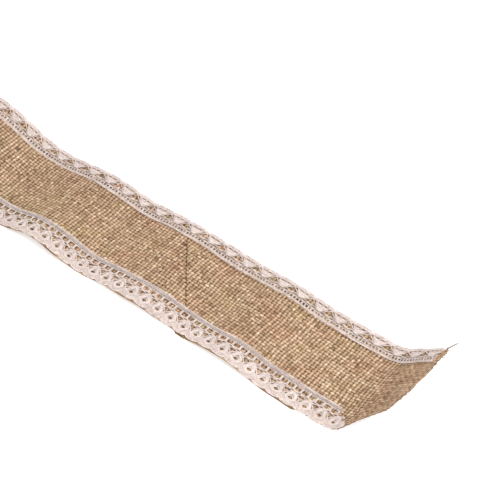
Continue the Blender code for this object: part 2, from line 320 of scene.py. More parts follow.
def wander(draw, distance, wavelength, size):
    """A smooth random wander of about that wavelength and size, as hand-made yarn has."""
    total = np.zeros(np.shape(distance))
    for share in WAVE_SHARES:
        total = total + share * np.sin(2 * math.pi * np.asarray(distance) / (wavelength * share)
                                       + draw.uniform(0, 2 * math.pi))
    return size * total / WAVE_SUM


def at_crossings(draw, distance, pitch, size):
    """A value that changes at random from one crossing of the yarns to the next."""
    crossing = distance / pitch
    first = math.floor(crossing[0])
    values = draw.normal(0, size, math.ceil(crossing[-1]) - first + 2)
    return np.interp(crossing, first + np.arange(len(values)), values)


print("a wander of 1 mm reaches",
      abs(wander(np.random.default_rng(1), np.linspace(0, 1, 500), 0.1, 1.0)).max().round(2), "mm")

# %% [markdown]
# ## Materials
# The burlap is jute: a stiff, hairy plant fibre, spun thick and woven undyed, so it is matt and has no two
# yarns alike; painted shade darkens it where yarns dip under each other and along each yarn's flanks. The
# lace is cotton cord, pale with a faint pink cast, and softly shiny only at the edges of its fibres. Colours
# are written as they look on a screen and turned to linear light by one function, and one function adds a
# node and its links.

# %% Colour and node helpers
def linear(hex_colour):
    """An sRGB hex colour as the linear values that a shader takes."""
    channels = (int(hex_colour[k:k + 2], 16) / 255 for k in (1, 3, 5))
    return (*(c / 12.92 if c <= 0.04045 else ((c + 0.055) / 1.055)**2.4 for c in channels), 1.0)


def new_material(name, roughness, sheen=0.0, sheen_tint="#ffffff"):
    """A matt thread material with its plain values on the shader's own sockets."""
    material = bpy.data.materials.new(name)
    material.use_nodes = True
    shader = material.node_tree.nodes["Principled BSDF"]
    shader.inputs["Roughness"].default_value = roughness
    shader.inputs["IOR"].default_value = 1.5
    shader.inputs["Specular IOR Level"].default_value = 0.25
    shader.inputs["Sheen Weight"].default_value = sheen
    shader.inputs["Sheen Roughness"].default_value = 0.6
    shader.inputs["Sheen Tint"].default_value = linear(sheen_tint)
    return material, material.node_tree


def add_node(tree, kind, settings=None, links=None):
    """Adds a node, sets its stops, properties and sockets, and links sockets to other nodes' outputs."""
    node = tree.nodes.new("ShaderNode" + kind)
    for key, value in (settings or {}).items():
        if key == "stops":                             # of a colour ramp: (place, hex colour)
            elements = node.color_ramp.elements
            while len(elements) < len(value):
                elements.new(0.5)
            for element, (place, colour) in zip(elements, value):
                element.position = place
                element.color = linear(colour)
        elif isinstance(key, str) and hasattr(node, key):
            setattr(node, key, value)
        else:
            node.inputs[key].default_value = value
    for socket, source in (links or {}).items():
        tree.links.new(source, node.inputs[socket])
    return node


MULTIPLIED = {"data_type": "RGBA", "blend_type": "MULTIPLY"}       # a Mix node that multiplies colours
FIRST, SECOND, RESULT = 6, 7, 2                                    # its colour sockets and its output
THREAD_FACTS = (("fibre", "Vector"), ("tone", "Fac"), ("sunk", "Fac"))
print("linear mid grey:", round(linear("#808080")[0], 4))

# %% [markdown]
# ### Jute yarn
# Jute keeps long parallel fibres with a slight twist, so its colour runs in fine streaks along the yarn.
# The streaks are noise that is stretched along the fibre coordinates: about 0.25 mm wide and 8 mm long.
# Real fibres are far finer and would vanish, so the streaks are drawn as coarse as strands of them.

# %% The jute material
# Painted shade: the dark brown that the jute's colour is multiplied with in dips and along the flanks.
PAINTED_SHADE_JUTE = "#604a38"                  # what the colour is multiplied with in a dip


def jute(name, stops, streak=0.5):
    """Undyed jute: matt, streaked along the yarn, with painted shade where it dips and where two yarns meet.
    """
    material, tree = new_material(name, roughness=0.92, sheen=0.06, sheen_tint="#f3dfc4")
    fibre, tone, sunk = (add_node(tree, "Attribute", {"attribute_name": fact}).outputs[output]
                         for fact, output in THREAD_FACTS)
    stretched = add_node(tree, "Mapping", {"Scale": (0.12, 4.0, 4.0)}, {"Vector": fibre}).outputs[0]
    strands = add_node(tree, "TexNoise", {"Scale": 1000.0, "Detail": 3.0, "Roughness": 0.65},
                       {"Vector": stretched}).outputs["Fac"]
    strand_share = add_node(tree, "MapRange", {"From Min": 0.25, "From Max": 0.75,
                                               "To Min": -0.5 * streak, "To Max": 0.5 * streak},
                            {"Value": strands}).outputs[0]
    shade = add_node(tree, "Math", {"operation": "ADD"}, {0: tone, 1: strand_share}).outputs[0]
    colour = add_node(tree, "ValToRGB", {"stops": stops}, {"Fac": shade}).outputs["Color"]
    # Retting leaves faintly pinker and greener patches, about 30 mm across.
    place = add_node(tree, "TexCoord").outputs["Object"]
    patches = add_node(tree, "TexNoise", {"Scale": 34.0, "Detail": 2.0}, {"Vector": place}).outputs["Fac"]
    patch_tint = add_node(tree, "ValToRGB", {"stops": (
        (0.34, "#fff5ed"), (0.5, "#fffdf8"), (0.66, "#fafaec"))}, {"Fac": patches}).outputs["Color"]
    tinted = add_node(tree, "Mix", {**MULTIPLIED, 0: 1.0}, {FIRST: colour, SECOND: patch_tint})
    # Painted shade darkens each yarn along its flanks, where the next yarn shades it.
    flank = add_node(tree, "Math", {"operation": "ABSOLUTE"}, {
        0: add_node(tree, "SeparateXYZ", links={"Vector": fibre}).outputs[1]}).outputs[0]
    flank_shade = add_node(tree, "MapRange", {"From Min": 0.00070, "From Max": 0.00140, "To Min": 0.0,
                                          "To Max": 0.75}, {"Value": flank}).outputs[0]
    flank_shaded = add_node(tree, "Mix", {**MULTIPLIED, SECOND: linear(PAINTED_SHADE_JUTE)},
                     {0: flank_shade, FIRST: tinted.outputs[RESULT]})
    # Painted shade where the yarn dips under its neighbour.
    dark = add_node(tree, "Mix", {**MULTIPLIED, SECOND: linear(PAINTED_SHADE_JUTE)},
                    {0: sunk, FIRST: flank_shaded.outputs[RESULT]})
    tree.links.new(dark.outputs[RESULT], tree.nodes["Principled BSDF"].inputs["Base Color"])
    bump = add_node(tree, "Bump", {"Strength": 0.45, "Distance": 0.00012}, {"Height": strands})
    tree.links.new(bump.outputs[0], tree.nodes["Principled BSDF"].inputs["Normal"])
    print("material", material.name)
    return material


# Woven jute, undyed: a warm, dull straw brown that never shines.
jute_burlap = jute("jute_burlap_plain_weave", (
    (0.0, "#8a6a4c"), (0.3, "#a98a6d"), (0.55, "#c0a286"), (0.8, "#d3b89d"), (1.0, "#e4cdb4")))
# One yarn that has been handled: greyer and duller than the cloth it came from.
jute_loose = jute("jute_loose_yarn_greyed", (
    (0.0, "#8d7454"), (0.5, "#ad9474"), (1.0, "#c9b397")))

# %% [markdown]
# ### Cotton lace cord
# Machine lace is made from soft two-ply cotton cord. Up close each cord shows its twist as slanted
# ridges, about 1.2 mm apart. The twist is a wave that climbs as it goes round the cord.

# %% The cotton materials
def cotton(name, light, dark, twist=0.0012, depth=0.0001, roughness=0.85, sheen=0.25):
    """Twisted cotton: pale, with painted shade in the grooves of its twist and where a cord lies sunk."""
    material, tree = new_material(name, roughness=roughness, sheen=sheen)
    fibre, tone, sunk = (add_node(tree, "Attribute", {"attribute_name": fact}).outputs[output]
                         for fact, output in THREAD_FACTS)
    parts = add_node(tree, "SeparateXYZ", links={"Vector": fibre})
    climb = add_node(tree, "Math", {"operation": "MULTIPLY", 1: 2 * math.pi / twist},
                     {0: parts.outputs[0]}).outputs[0]
    round_it = add_node(tree, "Math", {"operation": "MULTIPLY", 1: math.pi / twist},
                        {0: parts.outputs[1]}).outputs[0]
    phase = add_node(tree, "Math", {"operation": "ADD"}, {0: climb, 1: round_it}).outputs[0]
    wave = add_node(tree, "Math", {"operation": "SINE"}, {0: phase}).outputs[0]
    groove = add_node(tree, "MapRange", {"From Min": -1.0, "From Max": -0.2, "To Min": 1.0,
                                         "To Max": 0.0}, {"Value": wave}).outputs[0]
    groove_share = add_node(tree, "Math", {"operation": "MULTIPLY", 1: 0.35}, {0: groove}).outputs[0]
    fuzz = add_node(tree, "TexNoise", {"Scale": 900.0, "Detail": 2.0}, {"Vector": fibre}).outputs["Fac"]
    fuzz_share = add_node(tree, "MapRange", {"From Min": 0.3, "From Max": 0.7, "To Min": -0.18,
                                             "To Max": 0.18}, {"Value": fuzz}).outputs[0]
    shade = add_node(tree, "Math", {"operation": "ADD"}, {0: tone, 1: fuzz_share}).outputs[0]
    colour = add_node(tree, "ValToRGB", {"stops": ((0.0, dark), (1.0, light))}, {"Fac": shade})
    # Painted shade in the grooves of the twist, then where a cord lies sunk under others.
    groove_shaded = add_node(tree, "Mix", {**MULTIPLIED, SECOND: linear("#b9a294")},
                       {0: groove_share, FIRST: colour.outputs["Color"]})
    dip_shaded = add_node(tree, "Mix", {**MULTIPLIED, SECOND: linear("#ab968a")},
                    {0: sunk, FIRST: groove_shaded.outputs[RESULT]})
    tree.links.new(dip_shaded.outputs[RESULT], tree.nodes["Principled BSDF"].inputs["Base Color"])
    bump = add_node(tree, "Bump", {"Strength": 0.6, "Distance": depth}, {"Height": wave})
    tree.links.new(bump.outputs[0], tree.nodes["Principled BSDF"].inputs["Normal"])
    print("material", material.name)
    return material


# Soft lace cotton, washed but not bleached: off-white with a faint pink cast.
cotton_lace = cotton("cotton_lace_cord_off_white", light="#e5d7d0", dark="#b4a29b")
# Sewing thread, spun finer and harder: a little lighter and less hairy than the cord.
spun_thread = cotton("spun_sewing_thread_off_white", light="#e9dcd4", dark="#c2b1a8", twist=0.0007,
                     depth=0.00004, roughness=0.7)
# The same thread dyed brown: it reads as dark dots on the seam.
brown_thread = cotton("spun_sewing_thread_brown", light="#513a28", dark="#36261b", twist=0.0008,
                      depth=0.00005, roughness=0.75, sheen=0.1)
# A cord end twisted between fingers: greyed, with a coarse twist.
greyed_cord = cotton("cotton_cord_end_greyed", light="#b9aa9c", dark="#7f705f", twist=0.0016)

# %% [markdown]
# ## The burlap
# Burlap is a plain weave: each yarn goes over one and under the next. A bump texture would give that
# look from far away, but the gaps, the raw ends and the silhouette need real yarns. Warp yarns run
# along the runner 3 mm apart, and weft yarns run across it, a little farther apart. Each is pressed flat
# and swings up and down by a quarter of the cloth's thickness. Handling has pulled the weave about, and
# each yarn has its own width and tone, which also change from one crossing to the next.

# %% The spacing of the weave
WARP_PITCH = 0.0030                    # between the yarns that run along the runner
WEFT_PITCH = 0.0036                    # between the yarns that run across it
WARP_COUNT = 35
WEFT_FIRST = -9                        # enough to reach the far corner of the raw cut
WEFT_LAST = int(PLAIN_END / WEFT_PITCH)
YARN_SHARE = 0.462                     # half a yarn's width, as a share of its pitch
YARN_HALF_HEIGHT = 0.00027
YARN_SWING = 0.00028                   # each yarn's middle moves this far up and down
CLOTH_MIDDLE = BURLAP_THICKNESS / 2
WARP_PLACES = WARP_PITCH * (np.arange(WARP_COUNT) - WARP_COUNT // 2)
# How far the weave was pulled, and the two lengths over which each pull comes round: along, across.
PULLED_ALONG = ((0.0007, 0.240, 0.071), (0.0004, -0.097, 0.033))
PULLED_SIDEWAYS = ((0.0004, 0.088, 0.150), (0.0003, 0.041, -0.060))


def pulled(u, t):
    """Where handling has pulled the yarns to, so that no line of the weave stays straight."""
    along, sideways = (sum(size * np.sin(2 * math.pi * (u / u_length + t / t_length))
                           for size, u_length, t_length in pulls)
                       for pulls in (PULLED_ALONG, PULLED_SIDEWAYS))
    return u + along, t + sideways


print(WARP_COUNT, "warp yarns and", WEFT_LAST - WEFT_FIRST + 1, "weft yarns")

# %% [markdown]
# Where the two lengths meet, each has its allowance folded under, and the fold is ironed flat. Folding a
# finished mesh would crush its yarns, so each point is moved by one function: what lies past the seam
# goes round a small squarish bend and back under the cloth.

# %% The fold at the seam
SEAM_ALLOWANCE = 0.009
PRESSED_INTO = 0.00025                                    # how far each fold is squeezed past the seam
SQUARED_BY = math.sqrt(2)                                 # this makes a round bend nearly square
FOLD_MIDDLE = FOLD_RADIUS + BURLAP_THICKNESS / 2
FOLD_AXIS = FOLD_RADIUS + BURLAP_THICKNESS - PRESSED_INTO      # from the seam to the axis of each fold
SEAM_SHARE = 1 / math.hypot(1, SEAM_SLANT)                     # square across the seam, for 1 along u
TURNED = math.pi * FOLD_MIDDLE + SEAM_ALLOWANCE - FOLD_AXIS      # past the seam, before folding


def turn_under(side):
    """Folds what lies past the seam round and under, on the short (1) or the long (-1) length."""
    def shape(flat):
        u, t, h = flat.T
        past = side * (u - seam_u(t)) * SEAM_SHARE
        run = past + FOLD_AXIS
        angle = np.clip(run / FOLD_MIDDLE, 0, math.pi)
        beyond = np.clip(run - math.pi * FOLD_MIDDLE, 0, None)
        radius = FOLD_RADIUS + h
        pressed_out = np.minimum(SQUARED_BY * np.sin(angle), 1)
        pressed_up = np.clip(SQUARED_BY * np.cos(angle), -1, 1)
        folded = np.where(run > 0, -FOLD_AXIS + radius * pressed_out - beyond, past)
        height = np.where(run > 0, -FOLD_RADIUS + radius * pressed_up, h)
        return np.stack([u + side * (folded - past) / SEAM_SHARE, t, height], axis=-1)
    return shape


print("turned under at the seam:", round(TURNED / MM, 2), "mm")

# %% One yarn of the weave
# How a yarn's width and tone vary: from yarn to yarn, in slow wanders (wavelength, size), at crossings.
WIDTH_VARIES = (0.09, ((0.045, 0.06),), 0.11)
TONE_VARIES = (0.08, ((0.030, 0.06), (0.150, 0.07)), 0.12)
OFF_ITS_PLACE = 0.00022                # how far a yarn lies off its place, and how far it wanders
OFF_WANDER = (0.070, 0.00018)
MIDDLE_TONE = 0.54
LEAST_WIDE, MOST_WIDE = 0.66, 1.10     # shares of the usual half width
LEAST_HIGH, MOST_HIGH = 0.8, 1.15      # and of the usual half height
PAINTED_SHADE_VARIES = 0.18
FOLD_STATIONS = np.arange(-0.0028, 0.0026, 0.0003)     # closer together, where a yarn goes round the fold
NEAR_FOLD = 0.0002                     # no other station this close to those


def varied(draw, distance, pitch, middle, variation):
    """Values along a yarn that vary about middle."""
    own, wanders, crossings = variation
    values = middle + own * draw.standard_normal()
    for wavelength, size in wanders:
        values = values + wander(draw, distance, wavelength, size)
    return values + at_crossings(draw, distance, pitch, crossings)


def yarn(threads, draw, start, end, place, runs_along, number, per_pitch):
    """One yarn of the weave from start to end, at place across its direction."""
    own_pitch, pitch = (WARP_PITCH, WEFT_PITCH) if runs_along else (WEFT_PITCH, WARP_PITCH)
    if end - start < pitch / 2:
        return
    step = pitch / per_pitch
    inner = np.arange(math.ceil(start / step + 0.3), math.floor(end / step - 0.3) + 1) * step
    past_seam = FOLD_STATIONS / SEAM_SHARE
    at_fold = seam_u(place) + past_seam if runs_along else (place - SEAM_MIDDLE + past_seam) / SEAM_SLANT
    at_fold = at_fold[(at_fold > start + step / 2) & (at_fold < end - step / 2)]
    if len(at_fold):
        inner = inner[(inner < at_fold[0] - NEAR_FOLD) | (inner > at_fold[-1] + NEAR_FOLD)]
    distance = np.sort(np.concatenate([[start], inner, at_fold, [end]]))
    thick = varied(draw, distance, pitch, 1.0, WIDTH_VARIES)
    off = OFF_ITS_PLACE * draw.standard_normal() + wander(draw, distance, *OFF_WANDER)
    swing = np.cos(math.pi * (distance / pitch + number)) * (1 if runs_along else -1)
    tone = varied(draw, distance, pitch, MIDDLE_TONE, TONE_VARIES)
    dip = np.clip(0.5 - 0.5 * swing, 0, 1)
    # Painted shade where the yarn dips under the crossing yarn, varied at random from one crossing to the
    # next.
    sunk = np.clip((dip**1.1 if runs_along else 0.85 * dip**1.3)          # the weft is shaded less
                   + at_crossings(draw, distance, pitch, PAINTED_SHADE_VARIES), 0, 1)
    u, t = pulled(distance, place + off) if runs_along else pulled(place + off, distance)
    threads.add(np.stack([u, t, CLOTH_MIDDLE + YARN_SWING * swing], axis=-1),
                YARN_SHARE * own_pitch * np.clip(thick, LEAST_WIDE, MOST_WIDE),
                YARN_HALF_HEIGHT * np.clip(thick, LEAST_HIGH, MOST_HIGH), tone, sunk)


print("stations round the fold:", len(FOLD_STATIONS))

# %% The warp
WARP_FRAY = 0.0005                     # how unevenly the yarns stand out of the raw cut
PLAIN_FRAY = 0.0004                    # and out of the plain end
EDGE_YARNS_OUT = (0.0003, 0.0012)      # two loose yarns outside the cloth's edge
EDGE_PEEKS = 0.085                     # from here on they show past the wide lace
EDGE_HIDDEN_BY = 0.001                 # before that they lie this far inside the edge
EDGE_YARN_HALF = (0.00075, 0.00040)    # half width and half height
EDGE_WANDER = (0.080, 0.0004)
# Their low tone and their painted shade stand for the shade under the wide lace's edge.
EDGE_TONE, EDGE_TONE_VARIES, EDGE_TONE_LENGTH, EDGE_PAINTED_SHADE = 0.35, 0.35, 0.004, 0.25


def weave_warp(name, draw, places, on_short, per_pitch):
    """The warp yarns of one length."""
    threads = Threads(name)

    def ends(place):
        if on_short:
            return (float(cut_u(place)) - abs(draw.normal(0, WARP_FRAY)),
                    seam_u(place) + TURNED / SEAM_SHARE)
        return seam_u(place) - TURNED / SEAM_SHARE, PLAIN_END + abs(draw.normal(0, PLAIN_FRAY))

    for place in places:
        start, end = ends(place)
        yarn(threads, draw, start, end, place, True, round(place / WARP_PITCH), per_pitch)
    if places[0] < -HALF_WIDTH + WARP_PITCH:                      # the wide lace's side
        for outside in EDGE_YARNS_OUT:
            distance = np.arange(*ends(-HALF_WIDTH), WEFT_PITCH / 3)
            t = -HALF_WIDTH - outside + wander(draw, distance, *EDGE_WANDER)
            hidden = ease((EDGE_PEEKS - distance) / WEFT_PITCH)
            u, t = pulled(distance, t + hidden * (EDGE_HIDDEN_BY + outside))
            threads.add(np.stack([u, t, np.full(len(u), CLOTH_MIDDLE)], axis=-1), *EDGE_YARN_HALF,
                        EDGE_TONE + at_crossings(draw, distance, EDGE_TONE_LENGTH, EDGE_TONE_VARIES),
                        EDGE_PAINTED_SHADE)
    return threads.piece(jute_burlap, turn_under(1 if on_short else -1))


draw = np.random.default_rng(7)
short_warp = weave_warp("burlap_short_warp", draw, WARP_PLACES, True, 4)

# %% The weft
EDGE_STATIONS = 107                    # places across the cloth at which a weft yarn may be cut off
INSIDE_CUT = 0.0004                    # the first weft yarn stays this far inside the raw cut
WEFT_FRAY = 0.0005


def weave_weft(name, draw, numbers, on_short, per_pitch):
    """The weft yarns of one length, each as far as the cuts let it run."""
    threads = Threads(name)
    t = np.linspace(-HALF_WIDTH, HALF_WIDTH, EDGE_STATIONS)
    side = 1 if on_short else -1
    for number in numbers:
        place = number * WEFT_PITCH
        inside = side * (place - seam_u(t)) * SEAM_SHARE < TURNED
        if on_short:
            inside &= place > cut_u(t) + INSIDE_CUT
        runs = np.flatnonzero(np.diff(np.concatenate([[0], inside.astype(int), [0]])))
        for first, last in zip(runs[::2], runs[1::2] - 1):
            fray = np.abs(draw.normal(0, WEFT_FRAY, 2))
            yarn(threads, draw, t[first] - fray[0], t[last] + fray[1], place, False, number, per_pitch)
    return threads.piece(jute_burlap, turn_under(side))


seam_numbers = [round(seam_u(t) / WEFT_PITCH) for t in (-HALF_WIDTH, HALF_WIDTH)]
spare = round(TURNED / SEAM_SHARE / WEFT_PITCH) + 1
short_weft = weave_weft("burlap_short_weft", draw, range(WEFT_FIRST, seam_numbers[1] + spare), True, 4)

# %% [markdown]
# The long length is woven in four pieces, so that none grows past what one file holds well. Its yarns
# have fewer points, because nothing on it curls as tightly.

# %% Weave the long length
UNDER_WIDE_LACE = WARP_COUNT // 2 + 1          # warp yarns in the wide lace's half
long_warp = [
    weave_warp(f"burlap_long_warp_{part}", draw, places, False, 3)
    for part, places in (("wide_side", WARP_PLACES[:UNDER_WIDE_LACE]),
                         ("narrow_side", WARP_PLACES[UNDER_WIDE_LACE:]))]
long_middle = (seam_numbers[0] + WEFT_LAST) // 2
long_weft = [
    weave_weft(f"burlap_long_weft_{part}", draw, numbers, False, 3)
    for part, numbers in (("seam_end", range(seam_numbers[0] - spare, long_middle)),
                          ("plain_end", range(long_middle, WEFT_LAST + 1)))]

# %% [markdown]
# Real burlap is hairy, and loose fibres bridge every gap between its yarns, so no gap is ever clear.
# Thousands of such hairs would be heavy, so a thin dark web in the middle of each cloth stands for them
# and for the shade in the gaps: its dark colour is partly the fibres' own and partly painted shade.

# %% The loose fibres and the painted shade in the gaps
WEB_INSIDE_EDGE = 0.0006
WEB_INSIDE_CUT = 0.0008
WEB_INSIDE_PLAIN_END = 0.0004
WEB_COLUMNS = 37
WEB_STREAKS = (1, 0.4, 0)              # its fibre coordinates, as shares of u, t and h
# Fibre ends in the gaps between yarns: they get little light, so their dull dark brown is partly painted
# shade.
gap_fibres_and_shade = jute("jute_fibre_web_painted_shade", (
    (0.0, "#5c4938"), (1.0, "#8f7862")), streak=0.9)


def fibre_web(name, side, stations):
    """A flat web between the yarns of one length, as a grid in cloth coordinates."""
    t = np.linspace(-HALF_WIDTH + WEB_INSIDE_EDGE, HALF_WIDTH - WEB_INSIDE_EDGE, WEB_COLUMNS)
    at_seam = seam_u(t) - side * FOLD_AXIS / SEAM_SHARE
    at_end = (cut_u(t) + WEB_INSIDE_CUT if side > 0
              else np.full(len(t), PLAIN_END - WEB_INSIDE_PLAIN_END))
    rows = at_end + (at_seam - at_end) * np.linspace(0, 1, stations)[:, None]
    flat = np.stack(np.broadcast_arrays(rows, t, CLOTH_MIDDLE), axis=-1).reshape(-1, 3)
    corner = (np.arange(stations - 1)[:, None] * len(t) + np.arange(len(t) - 1)).reshape(-1)
    quads = np.stack([corner, corner + 1, corner + len(t) + 1, corner + len(t)], axis=-1)
    if side < 0:                       # its rows run the other way, so its faces are turned over
        quads = quads[:, [0, 3, 2, 1]]
    mesh = bpy.data.meshes.new(name)
    mesh.from_pydata(lie(flat).tolist(), [], quads.tolist())
    mesh.attributes.new("fibre", "FLOAT_VECTOR", "POINT").data.foreach_set(
        "vector", (flat * WEB_STREAKS).astype(np.float32).ravel())
    mesh.attributes.new("tone", "FLOAT", "POINT").data.foreach_set(
        "value", np.full(len(flat), 0.5, dtype=np.float32))
    mesh.materials.append(gap_fibres_and_shade)
    obj = bpy.data.objects.new(name, mesh)
    bpy.context.scene.collection.objects.link(obj)
    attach(obj, "root")
    print(f"{name}: {2 * len(quads)} triangles")
    return obj


short_web = fibre_web("burlap_short_gap_web_and_shade", 1, 90)
long_web = fibre_web("burlap_long_gap_web_and_shade", -1, 170)

# %% [markdown]
# ## The lace
# The trim is a torchon kind of lace: cords that cross, loop and run side by side. From its inner edge
# outwards it has a dense heading, a row of small square openings, a narrow zigzag net, a row of pointed
# medallions with rhombs between them, and a dense scalloped edge. It is drawn cord by cord, in
# millimetres: s along the lace and r out from its inner edge. One repeat is designed once and is then
# placed again and again, and the cords that run the whole length are drawn in one go.

# %% Tools for a lace design
NEAR_ROUND = 0.995                     # a scallop's curve stops short of going upright


def loop(s, r, half_s, half_r, points, power=2.0, z=0.0):
    """A closed ring of cord: an ellipse, or a pointed one where power is under 2."""
    angle = np.arange(points) * 2 * math.pi / points
    reach = (abs(np.cos(angle))**power + abs(np.sin(angle))**power)**(-1 / power)
    return np.stack([s + half_s * reach * np.cos(angle), r + half_r * reach * np.sin(angle),
                     np.full(points, z)], axis=-1)


def bar(*corners, step=1.2, z=0.0):
    """An open cord through corners, with points about step apart."""
    corners = np.array(corners, dtype=float)
    points = [corners[:1]]
    for a, b in zip(corners, corners[1:]):
        count = max(1, round(float(np.linalg.norm(b - a)) / step))
        points.append(a + (b - a) * (np.arange(count)[:, None] + 1) / count)
    points = np.concatenate(points)
    return np.column_stack([points, np.full(len(points), z)])


def scallop(s, repeat, depth):
    """How far the edge is drawn in at s: nothing at a crest, depth between crests."""
    off_crest = 2 * (s / repeat % 1) - 1
    return depth * (1 - np.sqrt(1 - np.clip(abs(off_crest), 0, NEAR_ROUND)**2))


print("one scallop 15 mm long, halfway down from its crest:", scallop(3.75, 15.0, 1.0).round(3))

# %% [markdown]
# A lace that was sewn on by hand wanders a little, and it ravels where it was cut. So each cord is laid
# with a slow sideways drift, and it stops at a ragged line.

# %% Laying a whole trim
LACE_DRIFTS = ((0.45, 21.0), (0.25, 7.7))      # in millimetres: how far, and over which length
CORD_MIDDLE = 0.00034                          # a cord's middle above the base of the lace
RAVEL_PLACES = 64
RAVEL_PER_WIDTH = 40                           # of those places, how many one width of lace takes up
RAVEL = (-0.4, 0.6)                            # in millimetres, how far a cut cord stands back or out
# The tone of the long cords and of those in the motif, and how it varies: by cord, by point, slowly.
RUNNING_TONE, RUNNING_OWN, RUNNING_SPECKLE, RUNNING_WANDER = 0.55, 0.08, 0.36, (90.0, 0.08)
MOTIF_TONE, MOTIF_OWN, MOTIF_SPECKLE = 0.58, 0.13, 0.17
MOTIF_LIFT = 0.02                              # in millimetres, how much the cords' height varies


def inside_parts(path, closed, keep):
    """The parts of a cord where keep holds, as (path, closed) pairs."""
    kept = keep(path)
    if kept.all():
        return [(path, closed)]
    if not kept.any():
        return []
    if closed:
        first = int(np.flatnonzero(~kept)[0])
        path, kept = np.roll(path, -first, axis=0), np.roll(kept, -first)
    edges = np.flatnonzero(np.diff(np.concatenate([[0], kept.astype(int), [0]])))
    return [(path[a:b], False) for a, b in zip(edges[::2], edges[1::2]) if b - a > 1]


def lace_piece(name, draw, side, inner, cut, repeat, running, motif):
    """Draws one whole trim: its running cords, and the motif at every repeat."""
    threads = Threads(name)
    last = PLAIN_END - GAP
    repeats = round((last - cut[1]) / repeat)
    pitch = (last - cut[1]) / repeats / MM
    width = LACE_EDGE - abs(inner)
    ravel = draw.uniform(*RAVEL, RAVEL_PLACES) * MM

    def keep(points):
        r = side * points[:, 1] - abs(inner)
        ending = cut[0] + (cut[1] - cut[0]) * np.clip(r / width, 0, 1)
        ragged = ravel[(r / width * RAVEL_PER_WIDTH).astype(int) % RAVEL_PLACES]
        return (points[:, 0] > ending - ragged) & (points[:, 0] <= last)

    def lay(path, closed, half_width, half_height, tone):
        drift = sum(size * np.sin(path[:, 0] / length) for size, length in LACE_DRIFTS)
        r = path[:, 1] + drift * np.clip(1 - path[:, 1] * MM / width, 0, 1)      # the outer edge stays
        flat = np.stack([cut[1] + path[:, 0] * MM, side * (abs(inner) + r * MM),
                         LACE_BASE + CORD_MIDDLE + path[:, 2] * MM, tone], axis=-1)
        for part, shut in inside_parts(flat, closed, keep):
            threads.add(part[:, :3], half_width * MM, half_height * MM, part[:, 3], closed=shut)

    for path_of, half_width, half_height, step in running(pitch):
        s = step * np.arange(-2, math.ceil(repeats * pitch / step) + 1)
        lay(path_of(s), False, half_width, half_height, RUNNING_TONE + RUNNING_OWN * draw.standard_normal()
            + wander(draw, s, *RUNNING_WANDER) + RUNNING_SPECKLE * draw.standard_normal(len(s)))
    past_cut = math.ceil((cut[0] - cut[1]) / repeat) + 1
    for k in range(-1, repeats + past_cut):
        for path, closed, half_width, half_height in motif(pitch):
            tone = (MOTIF_TONE + MOTIF_OWN * draw.standard_normal()
                    + MOTIF_SPECKLE * draw.standard_normal(len(path)))
            lay(path + (k * pitch, 0, MOTIF_LIFT * draw.standard_normal()), closed, half_width,
                half_height, tone)
    return threads.piece(cotton_lace)


print("the laces drift by up to", round(sum(size for size, _ in LACE_DRIFTS), 2), "mm")

# %% The cords that run the whole length
def straight(r, z=0.0):
    """A cord that keeps its distance r."""
    return lambda s: np.stack([s, np.full(len(s), r), np.full(len(s), z)], axis=-1)


def zigzag(spacing, at_start, between, z=0.0):
    """A cord that goes from at_start to between and back, once for each spacing."""
    def path(s):
        swing = 1 - abs(2 * (s / spacing % 1) - 1)
        return np.stack([s, at_start + (between - at_start) * swing, np.full(len(s), z)], axis=-1)
    return path


def scalloped(r, pitch, depth):
    """A cord that follows the scallops."""
    return lambda s: np.stack([s, r - scallop(s, pitch, depth), np.zeros(len(s))], axis=-1)


print("a zigzag over 6 mm:", zigzag(6.0, 0.0, 1.0)(np.arange(0, 7.5, 1.5))[:, 1])

# %% [markdown]
# The wide lace has its full width. Each number below is a place or a half size in millimetres, and each
# cord is given as its path, whether it is closed, and its half width and half height.

# %% The wide lace's design
WIDE_LACE_REPEAT = 0.0150
WIDE_SCALLOPS = (0.60, 1.08, 2.4, 0.35)        # first cord in from the edge, step, depth, step in depth


def wide_running(pitch):
    """Running cords: heading, the two zigzags of the net, and the scalloped edge."""
    width = WIDE_LACE_WIDTH / MM
    cords = [(straight(0.62), 0.62, 0.34, pitch / 8), (straight(1.95), 0.46, 0.26, pitch / 8),
             (straight(3.15), 0.42, 0.25, pitch / 8), (straight(4.75), 0.56, 0.30, pitch / 8),
             (zigzag(pitch / 6, 1.2, 4.6, 0.18), 0.32, 0.20, pitch / 12),
             (zigzag(pitch / 2, 10.7, 9.7, 0.12), 0.46, 0.28, pitch / 12),
             (zigzag(pitch / 2, 10.9, 12.2, 0.16), 0.46, 0.28, pitch / 12)]
    first, step, depth, less = WIDE_SCALLOPS
    for k in range(3):
        cords.append((scalloped(width - first - step * k, pitch, depth - less * k), 0.58,
                      0.32 - 0.03 * k, pitch / 16))
    return cords


